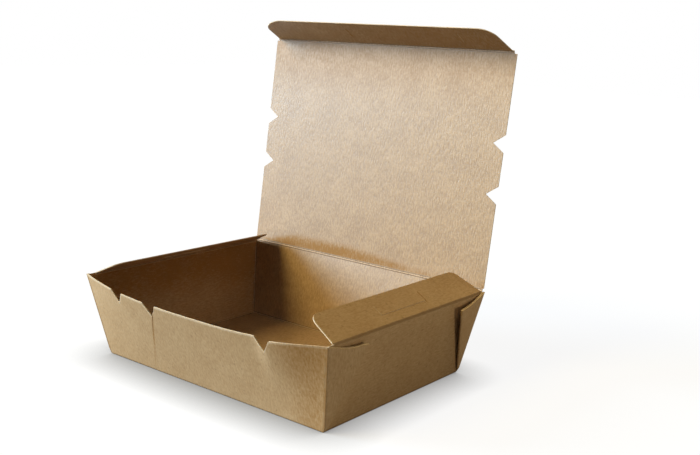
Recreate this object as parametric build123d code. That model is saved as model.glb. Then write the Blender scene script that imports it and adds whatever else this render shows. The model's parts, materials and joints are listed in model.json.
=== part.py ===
from build123d import *

import os
from math import atan2, cos, hypot, radians, sin

# A kraft board food box, cut and folded from one sheet. The tray has four flared walls. Its
# corners are webs of the same sheet, folded double and lying on the outside of the side walls.
# The lid, with its tuck flap, and the two side flaps turn on creases. Millimetres, +Z up, origin
# at the middle of the underside, -Y towards the open front edge.

# Board
BOARD = 0.5                  # thickness of the sheet
CREASE_RADIUS = 0.3          # bead that a crease leaves along a fold
CREASE_CLEARANCE = 0.2       # between a crease's bead and the panel that turns round it
STACK_CLEARANCE = 0.2        # between the closed lid and the folds of the side flaps

# Tray, measured over the outside of the board
BASE_WIDTH = 169.0
BASE_DEPTH = 123.5
RIM_WIDTH = 186.5
RIM_DEPTH = 144.5
TRAY_HEIGHT = 50.0
BASE_FOLD_RADIUS = 0.45      # round of the fold under each wall
FRONT_BOW = 11.0             # how far the free front edge has sprung forward at its middle
BOW_FULLNESS = 2.6           # 2 is a parabola, more is flatter in the middle

# Corner webs
WEB_FOLD_LENGTH = 50.6       # from the base corner to the top of the doubled web's fold
WEB_EDGE_SAG = 1.3           # hollow of the web's cut edge
WEB_LAYER_GAP = 0.25         # between the two layers of a doubled web
WEB_SEAT = 0.12              # how deep a web's root is set into the corner
FRONT_WEB_SPRING = 5.5       # degrees that a front web stands off the side wall
BACK_WEB_SPRING = 10.5       # degrees that a back web stands off

# Notches and the torn slit in the front wall
NOTCH_DEPTH = 7.8
NOTCH_HALF_WIDTH = 5.3
NOTCH_PITCH = 30.4           # between the two notches that make one locking tab
FRONT_TAB_OFFSET = 42.0      # from the middle of the wall to the middle of a tab
TEAR_LENGTH = 10.0
TEAR_WIDTH = 1.1

# Lid
LID_CLEARANCE = 3.1          # from the front wall to the tuck crease of the closed lid
LID_OVERHANG = 0.95          # how far each side of the lid's free end stands over the rim
LID_CORNER_CUT = 0.8         # small cut where the lid meets the hinge
LID_LEAN = 7.3               # degrees that the open lid leans back from upright

# Tuck flap
TUCK_LENGTH = 24.5
TUCK_CLEARANCE = 1.4         # between each end of the flap and the side wall it goes down inside
TUCK_CORNER = 11.0           # radius of its corners
TUCK_FOLD = 67.3             # degrees that it is folded inward from the lid when open

# Side flaps
SIDE_FLAP_LENGTH = 20.5
SIDE_FLAP_FRONT_GAP = 1.8    # from the closed tuck flap to the front end of the side flap's crease
SIDE_FLAP_BACK_GAP = 1.4     # from the back wall to the back end of the crease
SIDE_FLAP_FRONT_TAPER = 1.6  # how far the front end has drawn in at the free edge
SIDE_FLAP_BACK_TAPER = 6.4
SIDE_FLAP_CORNER = 6.5
RIGHT_FLAP_RAISE = 31.0      # degrees above level in the open box
LEFT_FLAP_RAISE = 25.0

# Locking cuts in the flaps, each a three-sided knife cut that takes a tab
CUT_WIDTH = 0.4
SIDE_CUT_START = 7.0         # from the crease to the long cut
SIDE_CUT_REACH = 7.2         # length of the two short cuts
TUCK_CUT_START = 9.3
TUCK_CUT_REACH = 8.8

# Sizes that follow from the ones above
FLARE_X = (RIM_WIDTH - BASE_WIDTH) / 2 / TRAY_HEIGHT
FLARE_Y = (RIM_DEPTH - BASE_DEPTH) / 2 / TRAY_HEIGHT
SIDE_FOLD_Z = TRAY_HEIGHT - CREASE_RADIUS
LID_FOLD_Z = TRAY_HEIGHT + STACK_CLEARANCE + BOARD / 2
PANEL_START = CREASE_RADIUS + CREASE_CLEARANCE
WEB_THICKNESS = 2 * BOARD + WEB_LAYER_GAP
CUT_LENGTH = NOTCH_PITCH + 2 * NOTCH_HALF_WIDTH
FRONT_CREASE_Y = RIM_DEPTH / 2 - BOARD - LID_CLEARANCE


def half_width(z):
    """Half the tray's outside width at height z."""
    return BASE_WIDTH / 2 + FLARE_X * z


def half_depth(z):
    """Half the tray's outside depth at height z."""
    return BASE_DEPTH / 2 + FLARE_Y * z


def bow(x):
    """How far the front wall stands forward at the rim, at distance x from its middle."""
    share = min(abs(x) / half_width(TRAY_HEIGHT), 1.0)
    return FRONT_BOW * (1 - share**BOW_FULLNESS)


def front_height(x, down=0.0):
    """Height at distance x and at a distance down from the front wall's cut edge. The wall is as
    long everywhere, so its bowed middle leans further and stands lower."""
    slant = TRAY_HEIGHT * hypot(1, FLARE_Y)
    return (slant - down) / hypot(1, FLARE_Y + bow(x) / TRAY_HEIGHT)


SIDE_AXIS_X = half_width(SIDE_FOLD_Z) - BOARD / 2
LID_AXIS_Y = half_depth(LID_FOLD_Z) - BOARD / 2
LID_LENGTH = LID_AXIS_Y + FRONT_CREASE_Y
BOW_STATIONS = [k / 4 for k in range(-4, 5)]


def tray_section(z, inset=0.0):
    """Outline of the tray at height z, as a face, drawn in by inset."""
    x = half_width(z) - inset
    y = half_depth(z) - inset
    rise = z / TRAY_HEIGHT
    front = [(x * s, -y - bow(x * s) * rise, z) for s in BOW_STATIONS]
    front[0] = (-x, -y, z)
    front[-1] = (x, -y, z)
    edges = [
        Spline(*front),
        Line((x, -y, z), (x, y, z)),
        Line((x, y, z), (-x, y, z)),
        Line((-x, y, z), (-x, -y, z)),
    ]
    return make_face(Wire(edges))


def tray_shell():
    """Base and four flared walls, all up to the height of the lid's crease."""
    outside = loft([tray_section(0), tray_section(LID_FOLD_Z)], ruled=True)
    outside = fillet(outside.edges().group_by(Axis.Z)[0], BASE_FOLD_RADIUS)
    inside = loft([tray_section(BOARD, BOARD), tray_section(LID_FOLD_Z + BOARD, BOARD)], ruled=True)
    return outside - inside


def through_front(sketch):
    """Cutter that takes a sketch in the front view right through the front wall."""
    depth = half_depth(TRAY_HEIGHT) - half_depth(0) + FRONT_BOW + 4 * BOARD
    return Pos(0, -half_depth(0), 0) * extrude(Plane.XZ * sketch, amount=depth)


def above_front_edge():
    """Everything above the front wall's cut edge, in the front view."""
    side = half_width(TRAY_HEIGHT)
    top = LID_FOLD_Z + BOARD
    edge = [(side * s, front_height(side * s)) for s in BOW_STATIONS]
    outline = [
        Spline(*edge),
        Line(edge[-1], (side + BOARD, TRAY_HEIGHT)),
        Line((side + BOARD, TRAY_HEIGHT), (side + BOARD, top)),
        Line((side + BOARD, top), (-side - BOARD, top)),
        Line((-side - BOARD, top), (-side - BOARD, TRAY_HEIGHT)),
        Line((-side - BOARD, TRAY_HEIGHT), edge[0]),
    ]
    return make_face(Wire(outline))


def notch(tip, opening):
    """V notch as a sketch: from its tip towards its open side, and as far again past the edge."""
    along = Vector(*opening)
    across = Vector(-along.Y, along.X) * (NOTCH_HALF_WIDTH / NOTCH_DEPTH)
    mouth = Vector(*tip) + along * 2
    left = mouth + across * 2
    right = mouth - across * 2
    return Polygon(tip, (right.X, right.Y), (left.X, left.Y), align=None)


def front_notch(x):
    """V notch in the front wall, with its tip at x."""
    tip = front_height(x, NOTCH_DEPTH)
    return notch((x, tip), (0, front_height(x) - tip))


def front_tear(x):
    """Slit that runs down from a notch's tip, narrowing to nothing."""
    tip = front_height(x, NOTCH_DEPTH)
    return Polygon((x, tip - TEAR_LENGTH), (x + TEAR_WIDTH, tip + TEAR_WIDTH), (x, tip + TEAR_WIDTH),
                   align=None)


def rod(start, end, radius):
    """Round rod between two points."""
    run = Vector(*end) - Vector(*start)
    return extrude(Plane(origin=start, z_dir=run) * Circle(radius), amount=run.length)


def corner_web(side, end, spring):
    """Doubled web at one corner: side is -1 or 1 for left or right, end -1 or 1 for front or back.
    It hangs on the corner's edge and stands off the side wall by the angle spring."""
    foot_x = side * (half_width(0) - WEB_SEAT)
    head_x = side * (half_width(TRAY_HEIGHT) - WEB_SEAT)
    inset = WEB_THICKNESS / 2
    foot = Vector(foot_x, end * (half_depth(0) - inset), 0)
    head = Vector(head_x, end * (half_depth(TRAY_HEIGHT) - inset), TRAY_HEIGHT)
    along = (head - foot).normalized()
    out = Vector(side, 0, -FLARE_X).normalized()
    out = out.rotate(Axis((0, 0, 0), along), side * end * spring)
    plane = Plane(origin=foot, x_dir=along, z_dir=out)
    inward = plane.to_local_coords(foot + Vector(0, -end, 0)) - plane.to_local_coords(foot)
    turn = 1 if inward.Y > 0 else -1

    edge_length = (head - foot).length
    wall_x = atan2((RIM_WIDTH - BASE_WIDTH) / 2, TRAY_HEIGHT * hypot(1, FLARE_Y))
    wall_y = atan2((RIM_DEPTH - BASE_DEPTH) / 2, TRAY_HEIGHT * hypot(1, FLARE_X))
    half_web = (radians(90) - wall_x - wall_y) / 2
    fold_top = (WEB_FOLD_LENGTH * cos(half_web), turn * WEB_FOLD_LENGTH * sin(half_web))
    rim = (edge_length - BOARD, 0)
    middle = ((fold_top[0] + rim[0]) / 2 - WEB_EDGE_SAG, (fold_top[1] + rim[1]) / 2)
    outline = Wire([Line((0, 0), fold_top), ThreePointArc(fold_top, middle, rim), Line(rim, (0, 0))])
    web = extrude(plane * make_face(outline), amount=WEB_THICKNESS)

    # The slit between the layers is open along the cut edge and closed at the diagonal fold.
    past = 4 * BOARD
    start = (BOARD / sin(half_web), 0)
    beyond = WEB_FOLD_LENGTH + past
    far = (start[0] + beyond * cos(half_web), turn * beyond * sin(half_web))
    slit_outline = Polygon(start, far, (edge_length + past, 0), align=None)
    slit = extrude(plane * (Pos(0, 0, BOARD) * slit_outline), amount=WEB_LAYER_GAP)
    roll = rod(tuple(foot + out * inset), tuple(head - along * BOARD + out * inset), inset)
    return web - slit, roll


def tray():
    shell = tray_shell() - through_front(above_front_edge())

    # Side walls end at their creases, below the lid's crease.
    wall_top = LID_FOLD_Z - SIDE_FOLD_Z
    trim_length = 2 * (half_depth(SIDE_FOLD_Z) - BOARD)
    trim = Box(2 * RIM_WIDTH, trim_length, wall_top, align=(Align.CENTER, Align.CENTER, Align.MIN))
    shell -= Pos(0, 0, SIDE_FOLD_Z) * trim

    # Two notches are open on the left and one on the right, and the board is torn below one.
    inner = FRONT_TAB_OFFSET - NOTCH_PITCH / 2
    outer = FRONT_TAB_OFFSET + NOTCH_PITCH / 2
    for x in (-outer, -inner, outer):
        shell -= through_front(front_notch(x))
    shell -= through_front(front_tear(-inner))

    crease_end = half_depth(SIDE_FOLD_Z) - BOARD
    for side in (-1, 1):
        x = side * SIDE_AXIS_X
        shell += rod((x, -crease_end, SIDE_FOLD_Z), (x, crease_end, SIDE_FOLD_Z), CREASE_RADIUS)
    lid_end = half_width(SIDE_FOLD_Z) - BOARD
    shell += rod((-lid_end, LID_AXIS_Y, LID_FOLD_Z), (lid_end, LID_AXIS_Y, LID_FOLD_Z), CREASE_RADIUS)

    for side in (-1, 1):
        for end, spring in ((-1, FRONT_WEB_SPRING), (1, BACK_WEB_SPRING)):
            web, roll = corner_web(side, end, spring)
            shell += web
            shell += roll
    below = Box(2 * RIM_WIDTH, 2 * RIM_DEPTH, 4 * BOARD, align=(Align.CENTER, Align.CENTER, Align.MAX))
    return shell - below


def panel(outline, frame):
    """Flat panel of board from an outline whose X runs along the crease and Y away from it."""
    flat = Pos(0, 0, -BOARD / 2) * extrude(outline, amount=BOARD)
    return frame * flat


def lock_cut(middle, start, reach):
    """Three-sided knife cut: a long cut beside the crease and a short one at each end."""
    long_cut = Pos(middle, start) * Rectangle(CUT_LENGTH, CUT_WIDTH)
    cut = long_cut
    for end in (-1, 1):
        x = middle + end * (CUT_LENGTH - CUT_WIDTH) / 2
        cut += Pos(x, start + reach / 2) * Rectangle(CUT_WIDTH, reach + CUT_WIDTH)
    return cut


def lid_frame():
    """Plane of the open lid: X along the hinge, Y up the panel."""
    lean = radians(LID_LEAN)
    up = Vector(0, sin(lean), cos(lean))
    return Plane(origin=(0, LID_AXIS_Y, LID_FOLD_Z), x_dir=(1, 0, 0), z_dir=Vector(1, 0, 0).cross(up))


def lid():
    hinge = RIM_WIDTH / 2
    edge = hinge + LID_OVERHANG
    outline = Polygon((-hinge + LID_CORNER_CUT, PANEL_START), (hinge - LID_CORNER_CUT, PANEL_START),
                      (hinge, PANEL_START + LID_CORNER_CUT), (edge, LID_LENGTH), (-edge, LID_LENGTH),
                      (-hinge, PANEL_START + LID_CORNER_CUT), align=None)
    for y in (LID_AXIS_Y - NOTCH_PITCH / 2, LID_AXIS_Y + NOTCH_PITCH / 2):
        rim = hinge + LID_OVERHANG * y / LID_LENGTH
        for side in (-1, 1):
            outline -= notch((side * (rim - NOTCH_DEPTH), y), (side * NOTCH_DEPTH, 0))
    flat = panel(outline, lid_frame())
    ends = [lid_frame() * Pos(x, LID_LENGTH, 0) for x in (-edge + BOARD, edge - BOARD)]
    bead = rod(tuple(ends[0].position), tuple(ends[1].position), CREASE_RADIUS)
    return flat + bead


def tuck_frame():
    """Plane of the tuck flap: X along its crease, Y away from the lid."""
    turn = radians(90 + LID_LEAN - TUCK_FOLD)
    out = Vector(0, -cos(turn), sin(turn))
    crease = (lid_frame() * Pos(0, LID_LENGTH, 0)).position
    return Plane(origin=crease, x_dir=(1, 0, 0), z_dir=Vector(1, 0, 0).cross(out))


def tuck_flap():
    root = RIM_WIDTH / 2 - BOARD - TUCK_CLEARANCE
    tip = root - FLARE_X * TUCK_LENGTH
    outline = Polygon((-root, PANEL_START), (root, PANEL_START), (tip, TUCK_LENGTH), (-tip, TUCK_LENGTH),
                      align=None)
    outline = fillet(outline.vertices().group_by(Axis.Y)[-1], TUCK_CORNER)
    for side in (-1, 1):
        outline -= lock_cut(side * FRONT_TAB_OFFSET, TUCK_CUT_START, TUCK_CUT_REACH)
    return panel(outline, tuck_frame())


def side_flap(side):
    """Flap on the rim of one side wall; side is -1 for the left and 1 for the right."""
    raise_angle = radians(RIGHT_FLAP_RAISE if side > 0 else LEFT_FLAP_RAISE)
    out = Vector(-side * cos(raise_angle), 0, sin(raise_angle))
    frame = Plane(origin=(side * SIDE_AXIS_X, 0, SIDE_FOLD_Z), x_dir=(0, 1, 0),
                  z_dir=Vector(0, 1, 0).cross(out))
    front = SIDE_FLAP_FRONT_GAP - FRONT_CREASE_Y
    back = half_depth(SIDE_FOLD_Z) - BOARD - SIDE_FLAP_BACK_GAP
    outline = Polygon((front, PANEL_START), (back, PANEL_START),
                      (back - SIDE_FLAP_BACK_TAPER, SIDE_FLAP_LENGTH),
                      (front + SIDE_FLAP_FRONT_TAPER, SIDE_FLAP_LENGTH), align=None)
    outline = fillet(outline.vertices().group_by(Axis.Y)[-1], SIDE_FLAP_CORNER)
    outline -= lock_cut(0, SIDE_CUT_START, SIDE_CUT_REACH)
    return panel(outline, frame)


os.makedirs("parts", exist_ok=True)
parts = {
    "tray": tray(),
    "lid": lid(),
    "tuck_flap": tuck_flap(),
    "left_side_flap": side_flap(-1),
    "right_side_flap": side_flap(1),
}
for name, solid in parts.items():
    export_step(solid, f"parts/{name}.step")
    box = solid.bounding_box()
    print(name, "solids", len(solid.solids()), "valid", solid.is_valid, "volume", round(solid.volume, 1),
          "low", [round(v, 2) for v in box.min], "high", [round(v, 2) for v in box.max])

axis_points = {"side flaps": (SIDE_AXIS_X, 0, SIDE_FOLD_Z), "lid": (0, LID_AXIS_Y, LID_FOLD_Z),
               "tuck flap": tuple(tuck_frame().origin)}
for name, point in axis_points.items():
    print(name, "axis passes", [round(v, 3) for v in point])
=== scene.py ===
# %% [markdown]
# A food box of kraft board, cut from one sheet, creased, folded and glued at its corners, and
# standing open. The rigid model is already there with its hinges, so this notebook only makes the
# looks: thin curved sheets of board, real folds, pale cut edges and a fibrous brown surface.
# Everything is in metres, in the frame of the rigid model.

# %% Frame and imports
import json
import math

import bmesh
import bpy
from mathutils import Matrix, Vector


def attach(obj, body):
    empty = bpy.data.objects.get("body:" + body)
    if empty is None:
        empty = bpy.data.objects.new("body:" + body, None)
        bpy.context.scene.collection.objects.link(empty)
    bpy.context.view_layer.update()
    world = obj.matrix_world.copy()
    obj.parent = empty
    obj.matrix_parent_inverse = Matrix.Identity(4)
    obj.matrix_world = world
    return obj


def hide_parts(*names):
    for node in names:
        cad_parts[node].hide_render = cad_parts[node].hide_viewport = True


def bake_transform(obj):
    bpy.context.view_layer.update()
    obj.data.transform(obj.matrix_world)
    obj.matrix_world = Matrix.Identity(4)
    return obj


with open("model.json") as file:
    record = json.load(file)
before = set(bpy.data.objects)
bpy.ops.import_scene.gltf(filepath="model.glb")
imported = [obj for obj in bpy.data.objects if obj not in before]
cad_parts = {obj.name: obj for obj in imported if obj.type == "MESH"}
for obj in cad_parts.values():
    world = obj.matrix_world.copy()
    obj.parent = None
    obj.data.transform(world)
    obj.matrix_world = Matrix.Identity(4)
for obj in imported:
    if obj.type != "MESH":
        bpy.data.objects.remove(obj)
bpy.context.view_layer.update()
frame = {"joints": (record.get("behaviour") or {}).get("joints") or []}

MM = 0.001

# %% [markdown]
# The camera comes first, because every later choice is judged through it. Its place, angles and
# focal length were found by fitting the box's corners and creases to a picture 700 pixels wide.
# A camera object looks along its own -Z, so its three axes are written down directly.

# %% Camera
IMAGE_WIDTH = 700
SENSOR_WIDTH = 36.0
FOCAL_PIXELS = 964.3
CAMERA_PLACE = Vector((0.37236, -0.41163, 0.20008))
CAMERA_AZIMUTH = math.radians(38.29)
CAMERA_ELEVATION = math.radians(11.73)
CAMERA_ROLL = math.radians(2.40)


def direction(azimuth, elevation):
    """Unit vector from the box towards something seen at these angles; azimuth 0 is in front."""
    flat = math.cos(elevation)
    return Vector((math.sin(azimuth) * flat, -math.cos(azimuth) * flat, math.sin(elevation)))


def make_camera():
    back = direction(CAMERA_AZIMUTH, CAMERA_ELEVATION)
    level = Vector((math.cos(CAMERA_AZIMUTH), math.sin(CAMERA_AZIMUTH), 0))
    upright = back.cross(level)
    right = level * math.cos(CAMERA_ROLL) + upright * math.sin(CAMERA_ROLL)
    up = upright * math.cos(CAMERA_ROLL) - level * math.sin(CAMERA_ROLL)
    data = bpy.data.cameras.new("camera")
    data.sensor_width = SENSOR_WIDTH
    data.lens = FOCAL_PIXELS / IMAGE_WIDTH * SENSOR_WIDTH
    camera = bpy.data.objects.new("camera", data)
    turn = Matrix((right, up, back)).transposed().to_4x4()
    camera.matrix_world = Matrix.Translation(CAMERA_PLACE) @ turn
    bpy.context.scene.collection.objects.link(camera)
    bpy.context.scene.camera = camera
    return camera


camera = make_camera()
print("lens, mm:", round(camera.data.lens, 1))

# %% [markdown]
# The box stands on white, with soft window light from its front left. Distant lamps give the same
# light everywhere, and a wide angle makes their shadows soft. A cool low lamp and a warmer high one
# model the bright walls, and weak lamps at the right and behind keep the other sides readable. The
# floor shows as white to the camera. It darkens where the box keeps the lamps away and, with a
# grey that needs no lamp, close to the box, as in a room lit from all around.

# %% Light and floor
LAMPS = {
    # name: (azimuth, elevation, angular size, in degrees), (strength, colour)
    "window_low": ((-60, 20, 26), (5.9, (0.575, 0.78, 1.0))),
    "window_high": ((-30, 38, 26), (2.35, (1.0, 0.77, 0.31))),
    "room_right": ((90, 1, 4), (0.58, (1.0, 0.80, 0.50))),
    "room_behind": ((150, 45, 26), (0.5, (1.0, 0.82, 0.5))),
}
FLOOR_SIZE = 6.0
FLOOR_DROP = 0.02 * MM
FLOOR_ALBEDO = 0.3                # for light that goes on to the box
SEEN_ALBEDO, SEEN_GLOW = 0.12, 0.91    # for the camera
CONTACT = 28 * MM                  # how far from the box the floor still darkens


def make_lamp(name, place, look):
    azimuth, elevation, size = (math.radians(angle) for angle in place)
    strength, colour = look
    lamp = bpy.data.lights.new(name, "SUN")
    lamp.energy, lamp.color, lamp.angle = strength, colour, size
    holder = bpy.data.objects.new(name, lamp)
    holder.rotation_mode = "QUATERNION"
    holder.rotation_quaternion = direction(azimuth, elevation).to_track_quat("Z", "Y")
    bpy.context.scene.collection.objects.link(holder)


def seen_directly(nodes, links):
    """1 for camera, glossy and transmission rays, so that mirrors show the same white."""
    path = nodes.new("ShaderNodeLightPath")
    total = path.outputs["Is Camera Ray"]
    for ray in ("Is Glossy Ray", "Is Transmission Ray"):
        larger = nodes.new("ShaderNodeMath")
        larger.operation = "MAXIMUM"
        links.new(total, larger.inputs[0])
        links.new(path.outputs[ray], larger.inputs[1])
        total = larger.outputs[0]
    return total


def make_floor():
    material = bpy.data.materials.new("white_floor")
    material.use_nodes = True
    nodes, links = material.node_tree.nodes, material.node_tree.links
    nodes.clear()
    seen = seen_directly(nodes, links)
    albedo = nodes.new("ShaderNodeMapRange")
    albedo.inputs["To Min"].default_value = FLOOR_ALBEDO
    albedo.inputs["To Max"].default_value = SEEN_ALBEDO
    links.new(seen, albedo.inputs["Value"])
    matt = nodes.new("ShaderNodeBsdfDiffuse")
    links.new(albedo.outputs[0], matt.inputs["Color"])
    # Painted shadow: the glow that the camera sees turns grey close to the box.
    openness = nodes.new("ShaderNodeAmbientOcclusion")
    openness.inputs["Distance"].default_value = CONTACT
    openness.inputs["Color"].default_value = (SEEN_GLOW, SEEN_GLOW, SEEN_GLOW, 1)
    glow = nodes.new("ShaderNodeEmission")
    links.new(openness.outputs["Color"], glow.inputs["Color"])
    links.new(seen, glow.inputs["Strength"])
    both = nodes.new("ShaderNodeAddShader")
    links.new(matt.outputs[0], both.inputs[0])
    links.new(glow.outputs[0], both.inputs[1])
    links.new(both.outputs[0], nodes.new("ShaderNodeOutputMaterial").inputs["Surface"])
    half = FLOOR_SIZE / 2
    mesh = bpy.data.meshes.new("floor")
    corners = [(-half, -half), (half, -half), (half, half), (-half, half)]
    mesh.from_pydata([(x, y, -FLOOR_DROP) for x, y in corners], [], [(0, 1, 2, 3)])
    mesh.materials.append(material)
    floor = bpy.data.objects.new("floor", mesh)
    bpy.context.scene.collection.objects.link(floor)


def make_world():
    world = bpy.data.worlds.new("white_room")
    bpy.context.scene.world = world
    world.use_nodes = True
    nodes, links = world.node_tree.nodes, world.node_tree.links
    links.new(seen_directly(nodes, links), nodes["Background"].inputs["Strength"])
    nodes["Background"].inputs["Color"].default_value = (1, 1, 1, 1)


for lamp_name, (lamp_place, lamp_look) in LAMPS.items():
    make_lamp(lamp_name, lamp_place, lamp_look)
make_floor()
make_world()
bpy.context.scene.view_settings.view_transform = "Standard"
print("lamps:", len(LAMPS))

# %% [markdown]
# Kraft board is unbleached pulp. Close up it is a felt of fibres that mostly run one way, with soft
# clouds where the pulp lay thicker and a few dark flecks. Noise stretched along the grain gives the
# fibres, and wider noise gives the clouds. Every piece has a map called blank: its place on the flat
# sheet before folding, in metres. Reading that map keeps the grain running the same way as on
# the real sheet, however a panel is folded. The inside has a thin film that makes it glossier. Marks
# on the sheets make the board a deeper brown and dull. Most of them are painted shade: on faces the
# light hardly reaches, by the front wall's right corner and at one end of a knife cut. The tear is
# torn board with painted shade in its slit, and a band along the lid's hinge is darker too.

# %% Kraft surface
GRAIN = (0.9 * MM, 4.2 * MM)      # width and length of a fibre streak
FELT = 1.1 * MM
CLOUD = 16 * MM
FLECK = 2.2 * MM


def new_material(name, roughness, specular):
    material = bpy.data.materials.new(name)
    material.use_nodes = True
    shader = material.node_tree.nodes["Principled BSDF"]
    shader.inputs["Roughness"].default_value = roughness
    shader.inputs["Specular IOR Level"].default_value = specular
    return material, shader


def noise(tree, place, size, detail, rough=0.55):
    """Noise whose features are size = (across, along) on the blank map."""
    mapping = tree.nodes.new("ShaderNodeMapping")
    mapping.inputs["Scale"].default_value = (1 / size[0], 1 / size[1], 1)
    tree.links.new(place, mapping.inputs["Vector"])
    texture = tree.nodes.new("ShaderNodeTexNoise")
    texture.inputs["Scale"].default_value = 1
    texture.inputs["Detail"].default_value = detail
    texture.inputs["Roughness"].default_value = rough
    tree.links.new(mapping.outputs[0], texture.inputs["Vector"])
    return texture.outputs["Fac"]


def remap(tree, value, low, high, to_low, to_high):
    node = tree.nodes.new("ShaderNodeMapRange")
    for socket, number in zip(node.inputs[1:5], (low, high, to_low, to_high)):
        socket.default_value = number
    tree.links.new(value, node.inputs[0])
    return node.outputs[0]


def calculate(tree, operation, first, second):
    node = tree.nodes.new("ShaderNodeMath")
    node.operation = operation
    for socket, value in zip(node.inputs, (first, second)):
        if isinstance(value, (int, float)):
            socket.default_value = value
        else:
            tree.links.new(value, socket)
    return node.outputs[0]


def mix(tree, share, first, second):
    """Mix of two colours, each a colour or a socket."""
    node = tree.nodes.new("ShaderNodeMix")
    node.data_type = "RGBA"
    for socket, value in zip((node.inputs[0], node.inputs[6], node.inputs[7]), (share, first, second)):
        if isinstance(value, (int, float)):
            socket.default_value = value
        elif isinstance(value, tuple):
            socket.default_value = (*value, 1)
        else:
            tree.links.new(value, socket)
    return node.outputs[2]


def bump(tree, shader, height, strength, distance):
    node = tree.nodes.new("ShaderNodeBump")
    node.inputs["Strength"].default_value = strength
    node.inputs["Distance"].default_value = distance
    tree.links.new(height, node.inputs["Height"])
    tree.links.new(node.outputs[0], shader.inputs["Normal"])


def attribute(tree, name):
    node = tree.nodes.new("ShaderNodeAttribute")
    node.attribute_name = name
    return node.outputs["Fac"]


def kraft(name, pale, deep, contrast, roughness, specular, relief, crease_tone, crease_share, dull_and_painted_shade=False):
    """One face of the board, between two browns. Creases show on it in a tone, to a share, and painted
    shade darkens their sides. The last argument is true for the coated inside face, which also reads a
    second set of marks: painted shade, and a duller, browner band along the lid's hinge."""
    material, shader = new_material(name, roughness, specular)
    tree = material.node_tree
    uv = tree.nodes.new("ShaderNodeUVMap")
    uv.uv_map = "blank"
    place = uv.outputs[0]
    fibres = noise(tree, place, GRAIN, 3)
    felt = noise(tree, place, (FELT, FELT * 1.6), 4)
    clouds = noise(tree, place, (CLOUD, CLOUD), 2)
    together = calculate(tree, "ADD", calculate(tree, "MULTIPLY", fibres, 0.45),
                         calculate(tree, "MULTIPLY", felt, 0.35))
    together = calculate(tree, "ADD", together, calculate(tree, "MULTIPLY", clouds, 0.2))
    spread = 0.12 / contrast
    colour = mix(tree, remap(tree, together, 0.5 - spread, 0.5 + spread, 0, 1), deep, pale)
    specks = noise(tree, place, (FLECK, FLECK), 0)
    colour = mix(tree, remap(tree, specks, 0.74, 0.82, 0, 0.35), colour, FLECK_BROWN)
    crease = attribute(tree, "crease")
    ragged = calculate(tree, "ADD", crease, remap(tree, felt, 0.3, 0.7, -0.12, 0.12))
    # Painted shade darkens the sides of a crease, and its middle takes the crease tone.
    side_share = remap(tree, ragged, CREASE_SIDE, CREASE_SIDE + 0.1, 0, 0.7 * crease_share)
    bead_share = remap(tree, ragged, CREASE_BEAD, CREASE_BEAD + 0.12, 0, 0.75 * crease_share)
    colour = mix(tree, bead_share, mix(tree, side_share, colour, CREASE_PAINTED_SHADE), crease_tone)
    rubbed = calculate(tree, "ADD", attribute(tree, "rub"), remap(tree, felt, 0.3, 0.7, -0.15, 0.15))
    colour = mix(tree, remap(tree, rubbed, 0.4, 0.7, 0, 0.7), colour, RUB_PALE)
    # The marks darken the board towards a deeper brown: mostly painted shade, also the torn board at the
    # tear and a band along the lid's hinge.
    painted_shade_and_wear_share = attribute(tree, "wear_and_painted_shade")
    if dull_and_painted_shade:
        painted_shade_and_wear_share = calculate(tree, "ADD", painted_shade_and_wear_share, attribute(tree, "dull_and_painted_shade"))
    painted_shade_and_wear_share = calculate(tree, "MULTIPLY", painted_shade_and_wear_share, remap(tree, together, 0.4, 0.6, 1.4, 0.7))
    colour = mix(tree, painted_shade_and_wear_share, colour, SHADE_AND_WEAR_BROWN)
    tree.links.new(colour, shader.inputs["Base Color"])
    dull = calculate(tree, "MAXIMUM", painted_shade_and_wear_share, crease)
    tree.links.new(remap(tree, dull, 0, 1, roughness, DULL), shader.inputs["Roughness"])
    height = calculate(tree, "ADD", fibres, calculate(tree, "MULTIPLY", felt, 0.3))
    bump(tree, shader, height, relief, 0.25 * MM)
    return material


FLECK_BROWN = (0.20, 0.12, 0.055)
# Deeper brown of the marks: painted shade, and torn board at the tear.
SHADE_AND_WEAR_BROWN = (0.29, 0.14, 0.028)
DULL = 0.95                        # roughness where the marks darken the board, and on creases
# Painted shade in the fine lines on each side of a crease.
CREASE_PAINTED_SHADE = (0.10, 0.05, 0.012)
CREASE_PALE = (0.68, 0.49, 0.33)
RUB_PALE = (0.74, 0.60, 0.43)
CREASE_SIDE, CREASE_BEAD = 0.22, 0.74    # where a crease's dark sides and its middle begin
# Outside, a crease is painted with shade in the deeper brown; inside, its bead is pale.
outside_kraft = kraft("kraft_outside", (0.545, 0.378, 0.215), (0.425, 0.273, 0.14), 1.1, 0.85, 0.25, 0.35,
                      SHADE_AND_WEAR_BROWN, 0.5)
inside_kraft = kraft("kraft_inside", (0.42, 0.27, 0.135), (0.30, 0.18, 0.08), 1.7, 0.45, 0.95, 0.65,
                     CREASE_PALE, 1.1, dull_and_painted_shade=True)
edge_kraft = kraft("kraft_cut_edge", (0.66, 0.53, 0.375), (0.54, 0.41, 0.27), 1.0, 0.9, 0.2, 0.6,
                   SHADE_AND_WEAR_BROWN, 0.0)
BOARD_FACES = (outside_kraft, inside_kraft, edge_kraft)
print("materials:", [m.name for m in BOARD_FACES])

# %% [markdown]
# Each panel starts as a sheet with no thickness: a grid of points with, for each point, its place on
# the flat blank. Patches are welded where they meet, and Solidify then gives the whole sheet the
# thickness of the board. Its material offsets put one material outside, one inside and one on the
# cut edges. A solid block bent afterwards would lose its even thickness at the folds.

# %% Sheets of board
BOARD = 0.5 * MM
WELD = 0.01 * MM
SHARP = math.radians(38)


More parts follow.
